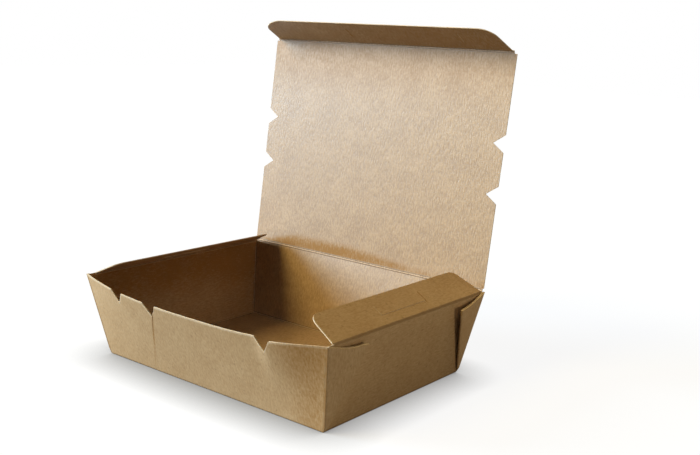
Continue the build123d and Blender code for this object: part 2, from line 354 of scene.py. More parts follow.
class Sheet:
    """Thin sheet that is built up from patches of points."""

    def __init__(self):
        self.bm = bmesh.new()
        self.blank = self.bm.loops.layers.uv.new("blank")
        self.marks = {}

    def mark_layer(self, name):
        if name not in self.marks:
            self.marks[name] = self.bm.verts.layers.float.new(name)
        return self.marks[name]

    def patch(self, points, places, marks=None, keep=None):
        """points and places are rows of equal length; marks maps a name to rows of numbers."""
        layers = {name: self.mark_layer(name) for name in (marks or {})}
        verts = []
        for i, row in enumerate(points):
            line = [self.bm.verts.new(point) for point in row]
            for name, rows in (marks or {}).items():
                for vert, value in zip(line, rows[i]):
                    vert[layers[name]] = value
            verts.append(line)
        for i in range(len(points) - 1):
            for j in range(len(points[0]) - 1):
                if keep is not None and not keep(i, j):
                    continue
                corners = ((i, j), (i, j + 1), (i + 1, j + 1), (i + 1, j))
                face = self.bm.faces.new([verts[a][b] for a, b in corners])
                face.smooth = True
                for loop, (a, b) in zip(face.loops, corners):
                    loop[self.blank].uv = places[a][b]

    def to_object(self, name, outside):
        """Welds the patches and turns the faces so that the one nearest to a point looks outside."""
        bmesh.ops.remove_doubles(self.bm, verts=self.bm.verts, dist=WELD)
        loose = [v for v in self.bm.verts if not v.link_faces]
        bmesh.ops.delete(self.bm, geom=loose, context="VERTS")
        bmesh.ops.recalc_face_normals(self.bm, faces=self.bm.faces)
        point, normal = outside
        nearest = min(self.bm.faces, key=lambda face: (face.calc_center_median() - point).length)
        if nearest.normal.dot(normal) < 0:
            bmesh.ops.reverse_faces(self.bm, faces=self.bm.faces)
        mesh = bpy.data.meshes.new(name)
        self.bm.to_mesh(mesh)
        self.bm.free()
        thing = bpy.data.objects.new(name, mesh)
        bpy.context.scene.collection.objects.link(thing)
        return thing


def bake_modifiers(thing):
    """Replaces an object's mesh by the result of its modifiers, and marks its sharp edges."""
    depsgraph = bpy.context.evaluated_depsgraph_get()
    mesh = bpy.data.meshes.new_from_object(thing.evaluated_get(depsgraph))
    thing.modifiers.clear()
    thing.data = mesh
    mesh.name = thing.name
    bm = bmesh.new()
    bm.from_mesh(mesh)
    for edge in bm.edges:
        edge.smooth = len(edge.link_faces) == 2 and edge.calc_face_angle() < SHARP
    bm.to_mesh(mesh)
    bm.free()
    return thing


def thicken(thing):
    thing.data.materials.clear()
    for material in BOARD_FACES:
        thing.data.materials.append(material)
    for face in thing.data.polygons:
        face.material_index = 0
    solidify = thing.modifiers.new("board", "SOLIDIFY")
    solidify.thickness = BOARD
    solidify.offset = 0
    solidify.material_offset = 1
    solidify.material_offset_rim = 2
    return bake_modifiers(thing)


def lerp(a, b, share):
    return a + (b - a) * share


def ease(share):
    """Smooth step from 0 to 1."""
    share = min(max(share, 0.0), 1.0)
    return share * share * (3 - 2 * share)


def bend(first, middle, last, share):
    """Point on a rounded corner that starts at first, heads for middle and ends at last."""
    return lerp(lerp(first, middle, share), lerp(middle, last, share), share)


def subdivide(stops, step):
    """Adds evenly spaced stops, so that no two neighbours differ by more than step in the first value."""
    fine = [stops[0]]
    for start, stop in zip(stops, stops[1:]):
        count = max(1, math.ceil(abs(stop[0] - start[0]) / step))
        for k in range(1, count + 1):
            fine.append(tuple(lerp(a, b, k / count) for a, b in zip(start, stop)))
    return fine


print("board, mm:", BOARD / MM)

# %% [markdown]
# The tray is a ruled surface: straight lines run from its base up to its cut edge, round all four
# walls. At each corner the sheet isn't cut. The end wall turns outwards into a web, the web is folded
# double along a diagonal and comes back, and a hairpin fold joins it to the side wall. The lines of
# a web all start at the base corner, as rays. That is how the real fold works, and it leaves the
# narrow dark slit in each inside corner. Front and back are the end walls here.

# %% Tray sizes
BASE_WIDTH, BASE_DEPTH = 169.0 * MM, 123.5 * MM
RIM_WIDTH, RIM_DEPTH = 186.5 * MM, 144.5 * MM
TRAY_HEIGHT = 50.0 * MM
FLARE_X = (RIM_WIDTH - BASE_WIDTH) / 2 / TRAY_HEIGHT
FLARE_Y = (RIM_DEPTH - BASE_DEPTH) / 2 / TRAY_HEIGHT
FOLD = 0.6 * MM                    # size of the round at a fold
CREASE_LEG = 1.2 * MM              # how far a crease's own strip reaches into each panel
WALL_ROWS = 22
FOLD_ROWS = 4
STEP = 2.4 * MM                    # grid spacing along a wall

WEB_FOLD_LENGTH = 50.6 * MM
WEB_EDGE_SAG = 1.3 * MM
WEB_OUTER = 1.13 * MM              # from the middle of the side wall's board to each layer
WEB_INNER = 0.52 * MM
HAIRPIN = 0.9 * MM                 # from the end wall to the hairpin fold
SPRING = {-1: math.radians(6.0), 1: math.radians(8.5)}   # front and back webs stand off the wall

NOTCH_DEPTH, NOTCH_HALF_WIDTH, NOTCH_PITCH = 7.8 * MM, 5.3 * MM, 30.4 * MM
TAB_OFFSET = 42.0 * MM
INNER_NOTCH, OUTER_NOTCH = TAB_OFFSET - NOTCH_PITCH / 2, TAB_OFFSET + NOTCH_PITCH / 2
TEAR_LENGTH, TEAR_WIDTH = 13.0 * MM, 1.6 * MM
TEAR_LIP, TEAR_LIP_RISE = 0.5 * MM, 0.74 * MM    # where the notch's left side ends at the tear
TEAR_SHOULDER = 1.71 * MM          # how far the notch's right side rises beside the tear
# The right notch's worn corner, in half widths across and depths down.
WORN_CORNER = ((0.70, 0.30), (0.84, 0.12), (1.02, 0.03), (1.35, 0.0))

joints = {joint["name"]: joint for joint in frame["joints"]}
LID_AXIS = Vector(joints["lid_hinge"]["pos_m"])
TUCK_AXIS = Vector(joints["tuck_fold"]["pos_m"])
SIDE_AXIS = Vector(joints["right_flap_fold"]["pos_m"])

FOOT = Vector(((BASE_WIDTH - BOARD) / 2, (BASE_DEPTH - BOARD) / 2, BOARD / 2))
RIM = Vector(((RIM_WIDTH - BOARD) / 2, (RIM_DEPTH - BOARD) / 2, TRAY_HEIGHT))
EDGE = RIM - FOOT
EDGE_X = Vector((1, 0, 0))
print("corner edge, mm:", round(EDGE.length / MM, 1))


# %% Rules of the tray
def ramp(distance):
    """Layers at a corner part from each other within the first few millimetres."""
    return ease(distance / (3 * MM))


def line_up(point_at, inset, length):
    """Points of one line: round the fold at the base, then straight up to the cut edge."""
    foot, start = point_at(0), point_at(FOLD)
    low = [bend(inset, foot, start, k / FOLD_ROWS) for k in range(FOLD_ROWS)]
    high = [point_at(lerp(CREASE_LEG, length, k / WALL_ROWS)) for k in range(WALL_ROWS + 1)]
    return low + [start] + high


def nearness(distance):
    """1 on the middle of a crease, 0 from CREASE_LEG away."""
    return max(0.0, 1 - abs(distance) / CREASE_LEG)


FOLD_HALF = 0.8 * FOLD             # half the length of board that is bent in a fold
LINE_MARKS = [nearness(FOLD_HALF * (2 * k / FOLD_ROWS - 1)) for k in range(FOLD_ROWS + 1)]
LINE_MARKS[:FOLD_ROWS // 2] = [1.0] * (FOLD_ROWS // 2)
LINE_MARKS += [0.0] * (WALL_ROWS + 1)


def wall_line(share, end_wall, sign, top, low_share=None):
    """Line of a wall at a share from -1 to 1 of its width, up to a share top of its height. sign is -1
    for the front or left wall. low_share is the line's share at the base, where that differs."""
    low_share = share if low_share is None else low_share
    foot, rim = FOOT.copy(), RIM.copy()
    k_along, k_across = (0, 1) if end_wall else (1, 0)
    foot[k_along] *= low_share
    rim[k_along] *= share
    foot[k_across] *= sign
    rim[k_across] *= sign
    if end_wall:
        shift = share * (WEB_OUTER - FOLD) * EDGE_X
    else:
        shift = Vector((sign * ROOT.x, math.copysign(1, share) * ROOT.y, ROOT.z)) * (abs(share) * HAIRPIN)
    run = rim - foot
    inset = foot.copy()
    inset[k_along] -= low_share * FOLD
    inset[k_across] -= sign * FOLD

    def point_at(distance):
        return foot + run.normalized() * distance + shift * ramp(distance)

    return line_up(point_at, inset, run.length * top)


def web_frame(spring):
    """Axes of one web in the corner where X and Y are positive: up the edge, inward and outward."""
    along = EDGE.normalized()
    out = Vector((1, 0, -FLARE_X)).normalized()
    inward = along.cross(out)
    if inward.y > 0:
        inward.negate()
    return (along, inward * math.cos(spring) + out * math.sin(spring),
            out * math.cos(spring) - inward * math.sin(spring))


ROOT = web_frame(0)[1]


def half_web_angle():
    """Angle between the corner edge and the web's diagonal fold."""
    lean_x = math.atan2((RIM_WIDTH - BASE_WIDTH) / 2, TRAY_HEIGHT * math.hypot(1, FLARE_Y))
    lean_y = math.atan2((RIM_DEPTH - BASE_DEPTH) / 2, TRAY_HEIGHT * math.hypot(1, FLARE_X))
    return (math.radians(90) - lean_x - lean_y) / 2


HALF_WEB = half_web_angle()


def web_length(angle):
    """Length of a web's ray at an angle from the corner edge, up to the slightly hollow cut edge."""
    edge = EDGE.length
    reach = WEB_FOLD_LENGTH
    straight = edge * reach * math.sin(HALF_WEB)
    straight /= reach * math.sin(HALF_WEB - angle) + edge * math.sin(angle)
    return straight - WEB_EDGE_SAG * math.sin(math.pi * angle / HALF_WEB)


def corner_rays(spring, side_length):
    """Rays of one corner, from the end wall round the web to the side wall: (angle, shift, length)."""
    along, inward, out = web_frame(spring)
    start = EDGE_X * (WEB_OUTER - FOLD)
    turn = EDGE_X * WEB_OUTER
    outer_start = out * WEB_OUTER + inward * FOLD
    rays = [(0.0, bend(start, turn, outer_start, k / 5), EDGE.length) for k in range(5)]
    steps = 9
    for k in range(steps + 1):
        angle = HALF_WEB * k / steps
        rays.append((angle, out * WEB_OUTER + inward * FOLD * (1 - k / steps), web_length(angle)))
    middle, radius = (WEB_OUTER + WEB_INNER) / 2, (WEB_OUTER - WEB_INNER) / 2
    beyond = inward * math.cos(HALF_WEB) - along * math.sin(HALF_WEB)
    for k in range(1, 6):
        turned = math.radians(90 - 30 * k)
        shift = out * (middle + radius * math.sin(turned)) + beyond * radius * math.cos(turned)
        rays.append((HALF_WEB, shift, web_length(HALF_WEB)))
    for k in range(steps + 1):
        angle = HALF_WEB * (1 - k / steps)
        rays.append((angle, out * WEB_INNER + inward * HAIRPIN * k / steps, web_length(angle)))
    leave, arrive = out * WEB_INNER + inward * HAIRPIN, ROOT * HAIRPIN
    pull = 4 / 3 * WEB_INNER / 2
    leaving, arriving = leave - inward * pull, arrive - ROOT * pull
    for k in range(1, 7):
        t = k / 6
        between = lerp(leaving, arriving, t)
        first = lerp(lerp(leave, leaving, t), between, t)
        last = lerp(between, lerp(arriving, arrive, t), t)
        rays.append((0.0, lerp(first, last, t), lerp(EDGE.length, side_length, t)))
    return rays


HAIRPIN_MARKS = (0.0, 0.2, 0.5, 0.9, 1.0, 0.9)       # round the hairpin, up to the side wall
TURN_MARKS = (0.9, 1.0, 0.9, 0.4, 0.0)               # from the end wall round into the web


def corner_patch(side, end, side_length):
    """Points of one corner and their places on the blank."""
    along, inward, out = web_frame(SPRING[end])
    mirror = Vector((side, end, 1))
    inset = FOOT - Vector((FOLD, FOLD, 0))
    points, places = [], []
    for angle, shift, length in corner_rays(SPRING[end], side_length):
        ray = along * math.cos(angle) + inward * math.sin(angle)
        line = line_up(lambda d: FOOT + ray * d + shift * ramp(d), inset, length)
        points.append([point * mirror for point in line])
        flat = [((point - FOOT).dot(inward), (point - FOOT).dot(along)) for point in line]
        places.append([(side * (FOOT.x + u), end * (FOOT.y + v)) for u, v in flat])
    marks = [list(LINE_MARKS) for _ in points]
    folded = list(zip(marks, TURN_MARKS)) + list(zip(marks[-len(HAIRPIN_MARKS):], HAIRPIN_MARKS))
    for line, mark in folded:
        line[FOLD_ROWS:] = [mark] * (len(line) - FOLD_ROWS)
    return points, places, {"crease": marks}


# %% [markdown]
# The front wall's cut edge has the V notches that a closed lid's tabs lock into, and one short tear.
# Both are part of the same rule: at each place along the wall the line up the wall simply ends
# lower. Stops are set exactly at the corners of each notch, so that the cut comes out crisp
# without any boolean operation.

# %% Stops along the front wall
WALL_SLANT = TRAY_HEIGHT * math.hypot(1, FLARE_Y)
TEAR_SHARE = -0.29                 # where the tear is, as a share of the rim's half width
TEAR_SLANT = -0.28                 # how far to the left the tear runs on its way to the base


def foot_share(share):
    """Share of the width at which a line of the front wall starts at the base."""
    return share + TEAR_SLANT * math.exp(-((share - TEAR_SHARE) / 0.27) ** 2) * (1 - share ** 2)


def share_at(x, drop):
    """Share of the front wall's width whose line passes x, at a distance drop below the rim."""
    up = 1 - drop / WALL_SLANT
    share = x / RIM.x
    for _ in range(30):
        low = FOOT.x * (foot_share(share) - share) * (1 - up)
        share = (x - low) / lerp(FOOT.x, RIM.x, up)
    return share


def front_stops():
    """(share, drop, darkening) along the front wall's cut edge, from left to right. The darkening is at
    the tear: torn board, with painted shade in its slit.
    """
    margin = 1 - 1.3 * MM / FOOT.x
    stops = [(-1.0, 0.0, 0.0), (-margin, 0.0, 0.0)]
    for tip in (-OUTER_NOTCH, -INNER_NOTCH, OUTER_NOTCH):
        stops.append((share_at(tip - NOTCH_HALF_WIDTH, 0), 0.0, 0.0))
        if tip == -INNER_NOTCH:
            bottom = NOTCH_DEPTH + TEAR_LENGTH
            side = NOTCH_DEPTH * (1 - TEAR_WIDTH / NOTCH_HALF_WIDTH)
            lip = NOTCH_DEPTH - TEAR_LIP_RISE
            stops.append((share_at(tip - TEAR_LIP, lip), lip, 0.0))
            # The last number darkens the tear: torn board, with painted shade in its slit and down the
            # wall.
            stops.append((share_at(tip, NOTCH_DEPTH), NOTCH_DEPTH, 0.6))
            tear = share_at(tip, NOTCH_DEPTH) + 0.05 * MM / RIM.x
            stops.append((tear, bottom, 1.0))
            stops.append((share_at(tip + TEAR_WIDTH, side), side, 0.3))
            shoulder = side - TEAR_SHOULDER
            stops.append((share_at(tip + 2 * TEAR_WIDTH, shoulder), shoulder, 0.0))
        else:
            stops.append((share_at(tip, NOTCH_DEPTH), NOTCH_DEPTH, 0.0))
        if tip == OUTER_NOTCH:
            for across, down in WORN_CORNER:
                drop = down * NOTCH_DEPTH
                stops.append((share_at(tip + across * NOTCH_HALF_WIDTH, drop), drop, 0.0))
        else:
            stops.append((share_at(tip + NOTCH_HALF_WIDTH, 0), 0.0, 0.0))
    stops += [(margin, 0.0, 0.0), (1.0, 0.0, 0.0)]
    return subdivide(stops, STEP / FOOT.x)


def height_share(axis_z, flare):
    """Share of the wall's height where the strip of a crease at axis_z begins."""
    return (axis_z - CREASE_LEG / math.hypot(1, flare) - FOOT.z) / (RIM.z - FOOT.z)


FRONT = front_stops()
SIDE_FULL = (SIDE_AXIS.z - FOOT.z) / (RIM.z - FOOT.z)
SIDE_TOP = height_share(SIDE_AXIS.z, FLARE_X)
BACK_TOP = height_share(LID_AXIS.z, FLARE_Y)
FLAP_FRONT, FLAP_BACK = -66.85 * MM, 70.29 * MM      # ends of a side flap's crease
MARGIN_SHARE = 1 - 1.3 * MM / FOOT.y


def side_stops():
    """(share, height share) along a side wall's top edge, from front to back."""
    stops = [(-1.0, SIDE_FULL)]
    depth = FOOT.y + (RIM.y - FOOT.y) * SIDE_TOP
    front, back, step = FLAP_FRONT / depth, FLAP_BACK / depth, 0.05 * MM / depth
    stops += [(-MARGIN_SHARE, SIDE_FULL), (front, SIDE_FULL), (front + step, SIDE_TOP)]
    stops += [(back - step, SIDE_TOP), (back, SIDE_FULL), (1.0, SIDE_FULL)]
    return subdivide(stops, STEP / FOOT.y)


SIDE = side_stops()
print("lines up the front wall:", len(FRONT), "and up a side wall:", len(SIDE))

# %% Tray sheet
def height(point):
    """Height as a share of the tray's height."""
    return min(max((point.z - FOOT.z) / (RIM.z - FOOT.z), 0.0), 1.0)


def right_corner_painted_shade(point):
    """Share of painted shade on the front wall, growing towards its right corner."""
    return 0.45 * ease((point.x - 58 * MM) / (25 * MM))


def left_wall_painted_shade(point):
    """Share of painted shade on the left side wall's inside: some all over, more at its top and beside
    its back corner.
    """
    return 0.3 + 0.6 * ease((height(point) - 0.3) / 0.5) + 0.3 * ease((point.y - 20 * MM) / (35 * MM))


def end_wall_patch(sign):
    """Front wall for sign -1, back wall for sign 1."""
    points, places, front, wear_and_painted_shade, rub = [], [], [], [], []
    for share, drop, painted_shade_and_wear_share in FRONT:
        if sign < 0:
            line = wall_line(share, True, sign, 1 - drop / WALL_SLANT, foot_share(share))
            front.append([1 - min(1.0, abs(point.x) / lerp(FOOT.x, RIM.x, height(point)))
                          for point in line])
            # The tear's line darkens, more towards its top: torn board, with painted shade in its slit.
            # Painted shade also darkens the wall beside its right corner.
            wear_and_painted_shade.append([painted_shade_and_wear_share * lerp(0.3, 1.0, ease(1.5 * height(point))) + right_corner_painted_shade(point)
                         for point in line])
            rub.append([0.0] * (len(line) - 1) + [1.0])
        else:
            line = wall_line(share, True, sign, 1.0 if abs(share) == 1 else BACK_TOP)
            front.append([0.0] * len(line))
            wear_and_painted_shade.append([0.0] * len(line))
            rub.append([0.0] * len(line))
        points.append(line)
        places.append([(point.x, sign * (FOOT.y + (point.z - FOOT.z) * math.hypot(1, FLARE_Y)))
                       for point in line])
    marks = [list(LINE_MARKS) for _ in points]
    for mark in (marks[0], marks[-1]):
        mark[FOLD_ROWS:] = [TURN_MARKS[0]] * (len(mark) - FOLD_ROWS)
    return points, places, {"front": front, "wear_and_painted_shade": wear_and_painted_shade, "rub": rub, "crease": marks}


def side_wall_patch(sign):
    points, places = [], []
    for share, top in SIDE:
        line = wall_line(share, False, sign, top)
        points.append(line)
        places.append([(sign * (FOOT.x + (point.z - FOOT.z) * math.hypot(1, FLARE_X)), point.y)
                       for point in line])
    marks = [list(LINE_MARKS) for _ in points]
    for k, mark in ((0, HAIRPIN_MARKS[-1]), (1, 0.3), (-2, 0.3), (-1, HAIRPIN_MARKS[-1])):
        marks[k][FOLD_ROWS:] = [mark] * (len(marks[k]) - FOLD_ROWS)
    # Painted shade on the left side wall's inside.
    dull_and_painted_shade = [[min(0.95, left_wall_painted_shade(point)) * (sign < 0) for point in line] for line in points]
    return points, places, {"crease": marks, "dull_and_painted_shade": dull_and_painted_shade}


def base_patch():
    inner_x, inner_y = FOOT.x - FOLD, FOOT.y - FOLD
    points = [[Vector((lerp(foot_share(share), share, (s + 1) / 2) * inner_x, s * inner_y, FOOT.z))
               for s, _ in SIDE] for share, _, _ in FRONT]
    places = [[(point.x, point.y) for point in row] for row in points]
    marks = [[nearness(FOLD_HALF + min(inner_x - abs(point.x), inner_y - abs(point.y))) for point in row]
             for row in points]
    return points, places, {"crease": marks}


def make_tray_sheet():
    sheet = Sheet()
    for sign in (-1, 1):
        sheet.patch(*end_wall_patch(sign))
        sheet.patch(*side_wall_patch(sign))
    for side in (-1, 1):
        for end in (-1, 1):
            sheet.patch(*corner_patch(side, end, EDGE.length * SIDE_FULL))
    sheet.patch(*base_patch())
    return sheet.to_object("tray_board", (Vector((0, 0, FOOT.z)), Vector((0, 0, -1))))


tray_board = make_tray_sheet()
print("tray sheet faces:", len(tray_board.data.polygons))

# %% [markdown]
# Nothing holds the free front wall, so it has sprung forward in the middle. Geometry Nodes does that
# to the finished sheet: a rule turns each point of the wall outward about the base fold, by an
# amount that depends only on its distance from the middle. The wall keeps its length, so its edge
# also sinks. Named inputs make the rule easy to try with other numbers.

# %% Bow of the front wall
FRONT_BOW, BOW_FULLNESS = 11.0 * MM, 2.6


class Tree:
    """Small helper for writing a geometry node tree as formulas."""

    def __init__(self, name):
        self.tree = bpy.data.node_groups.new(name, "GeometryNodeTree")
        self.tree.is_modifier = True
        self.nodes, self.links = self.tree.nodes, self.tree.links
        self.add_socket("Geometry", "NodeSocketGeometry", "INPUT")
        self.add_socket("Geometry", "NodeSocketGeometry", "OUTPUT")
        self.entry = self.nodes.new("NodeGroupInput")
        self.exit = self.nodes.new("NodeGroupOutput")

    def add_socket(self, name, kind, in_out):
        return self.tree.interface.new_socket(name, in_out=in_out, socket_type=kind)

    def value(self, name, default):
        """Named number input; returns its socket for use in the tree."""
        socket = self.add_socket(name, "NodeSocketFloat", "INPUT")
        socket.default_value = default
        return self.entry.outputs[name]

    def vector_value(self, name):
        self.add_socket(name, "NodeSocketVector", "INPUT")
        return self.entry.outputs[name]

    def combine(self, x, y, z):
        return self.node("ShaderNodeCombineXYZ", (x, y, z))

    def node(self, kind, inputs=(), output=0, **settings):
        made = self.nodes.new(kind)
        for key, setting in settings.items():
            setattr(made, key, setting)
        for socket, value in zip(made.inputs, inputs):
            self.set(socket, value)
        return made.outputs[output]

    def set(self, socket, value):
        if isinstance(value, bpy.types.NodeSocket):
            self.links.new(value, socket)
        elif value is not None:
            socket.default_value = value

    def math(self, operation, *inputs):
        return self.node("ShaderNodeMath", inputs, operation=operation)

    def vector(self, operation, *inputs):
        return self.node("ShaderNodeVectorMath", inputs, operation=operation)

    def scaled(self, vector, factor):
        made = self.nodes.new("ShaderNodeVectorMath")
        made.operation = "SCALE"
        self.set(made.inputs[0], vector)
        self.set(made.inputs["Scale"], factor)
        return made.outputs[0]

    def position(self):
        return self.nodes.new("GeometryNodeInputPosition").outputs[0]

    def split(self, vector):
        return self.node_outputs("ShaderNodeSeparateXYZ", vector)

    def node_outputs(self, kind, vector):
        made = self.nodes.new(kind)
        self.links.new(vector, made.inputs[0])
        return tuple(made.outputs)

    def smooth(self, value, low, high):
        """0 at low, 1 at high and a smooth step between, also where low is the larger one."""
        made = self.nodes.new("ShaderNodeMapRange")
        made.interpolation_type = "SMOOTHSTEP"
        for name, number in (("Value", value), ("From Min", low), ("From Max", high)):
            self.set(made.inputs[name], number)
        return made.outputs[0]

    def noise(self, place):
        """Noise from about -0.5 to 0.5."""
        made = self.nodes.new("ShaderNodeTexNoise")
        made.inputs["Scale"].default_value = 1.0
        self.links.new(place, made.inputs["Vector"])
        return self.math("SUBTRACT", made.outputs["Fac"], 0.5)

    def named(self, name):
        made = self.nodes.new("GeometryNodeInputNamedAttribute")
        made.data_type = "FLOAT"
        made.inputs["Name"].default_value = name
        return made.outputs["Attribute"]

    def store(self, geometry, name, value, data_type, domain):
        made = self.nodes.new("GeometryNodeStoreNamedAttribute")
        made.data_type, made.domain = data_type, domain
        made.inputs["Name"].default_value = name
        self.links.new(geometry, made.inputs["Geometry"])
        self.links.new(value, made.inputs["Value"])
        return made.outputs[0]

    def finish(self, geometry):
        realized = self.node("GeometryNodeRealizeInstances", (geometry,))
        made = self.nodes.new("GeometryNodeSetMaterial")
        made.inputs["Material"].default_value = outside_kraft
        self.links.new(realized, made.inputs["Geometry"])
        self.links.new(made.outputs[0], self.exit.inputs[0])

    def apply(self, thing, **values):
        """Puts the tree on an object, with inputs set by their identifiers."""
        modifier = thing.modifiers.new(self.tree.name, "NODES")
        modifier.node_group = self.tree
        for item in self.tree.interface.items_tree:
            if item.in_out == "INPUT" and item.name in values:
                modifier[item.identifier] = values[item.name]
        return thing


def bow_tree():
    t = Tree("front_bow")
    bow, fullness, height = t.value("Bow", 0.01), t.value("Fullness", 2.0), t.value("Height", 0.05)
    flare, base = t.value("Flare", 0.2), t.value("Base", 0.0)
    bulge, place = t.value("Corner bulge", 0.0), t.value("Bulge place", 0.06)
    half = t.value("Half width", 0.09)
    wave, seed = t.value("Wave", 0.0), t.value("Seed", 0.0)
    x, y, z = t.split(t.position())
    share = t.math("SUBTRACT", 1.0, t.named("front"))
    free = t.math("SUBTRACT", 1.0, t.math("POWER", share, fullness))
    right = t.smooth(x, t.math("SUBTRACT", place, 0.010), place)
    left = t.smooth(x, half, place)
    bulged = t.math("MULTIPLY", bulge, t.smooth(z, 0.012, 0.046))
    bulged = t.math("MULTIPLY", t.math("MULTIPLY", right, left), bulged)
    ripple = t.math("MULTIPLY", t.math("MULTIPLY", wave, free), t.smooth(z, 0.015, 0.05))
    ripple = t.math("MULTIPLY", ripple, t.noise(t.combine(t.math("DIVIDE", x, 0.021), seed, 0.0)))
    spring = t.math("ADD", t.math("MULTIPLY", bow, free), t.math("ADD", bulged, ripple))
    lean = t.math("ADD", flare, t.math("DIVIDE", spring, height))
    rise = t.math("SUBTRACT", z, base)
    slant = t.math("MULTIPLY", rise, t.math("SQRT", t.math("ADD", 1.0, t.math("MULTIPLY", flare, flare))))
    new_rise = t.math("DIVIDE", slant, t.math("SQRT", t.math("ADD", 1.0, t.math("MULTIPLY", lean, lean))))
    out = t.math("SUBTRACT", t.math("MULTIPLY", lean, new_rise), t.math("MULTIPLY", flare, rise))
    moved = t.node("ShaderNodeCombineXYZ", (x, t.math("SUBTRACT", y, out), t.math("ADD", new_rise, base)))
    chosen = t.math("MULTIPLY", t.math("GREATER_THAN", t.named("front"), 0.0),
                    t.math("GREATER_THAN", rise, 0.0))
    t.finish(t.node("GeometryNodeSetPosition", (t.entry.outputs["Geometry"], chosen, moved)))
    return t


bow_tree().apply(tray_board, Bow=FRONT_BOW, Fullness=BOW_FULLNESS, Height=TRAY_HEIGHT, Flare=FLARE_Y,
                 Base=FOOT.z, Wave=0.8 * MM, Seed=4.0, **{
                     "Corner bulge": 2.3 * MM, "Bulge place": 60 * MM, "Half width": RIM_WIDTH / 2})
thicken(tray_board)
print("tray faces:", len(tray_board.data.polygons))

# %% [markdown]
# The lid, the tuck flap and the side flaps are flat panels. Each is a grid with rows parallel to its
# crease. The middle columns are straight and the outer ones follow the outline, so that notches and
# round corners come out of the grid itself. The locking cuts are knife cuts with three sides: a thin
# line of cells is left out, and the tab they free is lifted a little, as cut board always does.

# %% Panels
MARGIN_COLUMNS = 5
CUT_WIDTH = 0.22 * MM
CUT_LENGTH = NOTCH_PITCH + 2 * NOTCH_HALF_WIDTH


def stations(low, high, breaks, step):
    """Sorted numbers from low to high that hold every break and are at most step apart."""
    stops = [(value,) for value in sorted({low, high, *(b for b in breaks if low < b < high)})]
    return [value for (value,) in subdivide(stops, step)]


def rounded_side(start, root, length, tip, radius):
    """Outline of one side of a panel that runs from root to tip and ends in a round corner. Returns the
    outline as a rule, the middle of the round, and distances at which it needs rows."""
    slope = (root - tip) / (length - start)
    stretch = math.hypot(1, slope)
    centre = length - radius
    middle = root - slope * (centre - start) - radius * stretch
    touch = math.asin(slope / stretch)

    def side(distance):
        if distance < centre + radius * math.sin(touch):
            return root - slope * (distance - start)
        return middle + math.sqrt(max(0.0, radius ** 2 - (distance - centre) ** 2))

    rows = [centre + radius * math.sin(lerp(touch, math.radians(90), k / 10)) for k in range(11)]
    return side, middle, rows


class Panel:
    """Flat panel: along its crease, up away from it, and out towards the outside of the board."""

    def __init__(self, origin, along, up, blank_origin, blank_along, blank_up):
        self.origin, self.along, self.up = Vector(origin), Vector(along), Vector(up)
        self.out = self.along.cross(self.up)
        self.blank = Vector(blank_origin), Vector(blank_along), Vector(blank_up)

    def point(self, a, s, lift=0.0):
        return self.origin + self.along * a + self.up * s + self.out * lift

    def place(self, a, s):
        origin, along, up = self.blank
        return tuple(origin + along * a + up * s)

    def make(self, name, rows, inner, sides, cut=None, lift=None, wear_and_painted_shade=None, dull_and_painted_shade=None, rub=(0.0, 0.0)):
        """sides(s) gives the left and right outline, and rub how pale each has been rubbed; cut(a, s) is
        true inside a knife cut; lift(a, s) is how far the board stands out, wear(a, s) how much painted
        shade darkens both faces, and film(a, s) how much painted shade darkens the inside, with a darker
        band along the lid's hinge, and makes it dull."""
        grid = []
        for s in rows:
            left, right = sides(s)
            line = [(lerp(left, inner[0], k / MARGIN_COLUMNS), s) for k in range(MARGIN_COLUMNS)]
            line += [(a, s) for a in inner]
            line += [(lerp(inner[-1], right, (k + 1) / MARGIN_COLUMNS), s) for k in range(MARGIN_COLUMNS)]
            grid.append(line)

        def keep(i, j):
            if cut is None:
                return True
            a = (grid[i][j][0] + grid[i][j + 1][0]) / 2
            return not cut(a, (grid[i][j][1] + grid[i + 1][j][1]) / 2)

        def along_grid(rule):
            return [[rule(a, s) if rule else 0.0 for a, s in line] for line in grid]

        points = [[self.point(a, s, lift(a, s) if lift else 0.0) for a, s in line] for line in grid]
        marks = {"wear_and_painted_shade": along_grid(wear_and_painted_shade), "dull_and_painted_shade": along_grid(dull_and_painted_shade),
                 "rub": [[rub[0]] + [0.0] * (len(line) - 2) + [rub[1]] for line in grid]}
        sheet = Sheet()
        sheet.patch(points, [[self.place(a, s) for a, s in line] for line in grid], marks, keep)
        thing = sheet.to_object(name, (self.point(inner[0], rows[0]), self.out))
        return thicken(thing)


def lock_cut(middle, start, reach, painted_shade_end):
    """Rules for a locking cut, its tab's lift and painted shade at one end, and the lines they need.
    painted_shade_end is -1 or 1 for the end where shade is painted beside the cut, or 0 for neither."""
    half = CUT_LENGTH / 2
    end_place = middle + painted_shade_end * (half - CUT_WIDTH / 2)

    def cut(a, s):
        a = abs(a - middle)
        beside = a < half and abs(s - start) < CUT_WIDTH / 2
        end = half - CUT_WIDTH < a < half and start < s < start + reach
        return beside or end

    def lift(a, s):
        a = abs(a - middle)
        if a > half - CUT_WIDTH or not start <= s <= start + reach:
            return 0.0
        return ease(1 - (s - start) / reach) * TAB_LIFT

    # Painted shade beside the cut at its shaded end.
    def wear_and_painted_shade(a, s):
        beside = painted_shade_end and abs(a - end_place) < CUT_WIDTH
        return 1.0 if beside and start - CUT_WIDTH < s < start + reach * 1.01 else 0.0

    across = [middle + side * (half - inset) for side in (-1, 1) for inset in (0, CUT_WIDTH)]
    across += [end_place - PAINTED_SHADE_REACH, end_place + PAINTED_SHADE_REACH]
    rows = [start - CUT_WIDTH / 2, start + CUT_WIDTH / 2, start + reach]
    return cut, lift, wear_and_painted_shade, across, rows


TAB_LIFT = 0.15 * MM
# How far the painted shade at a cut's end reaches.
PAINTED_SHADE_REACH = 0.5 * MM
print("knife cut, mm:", CUT_WIDTH / MM)

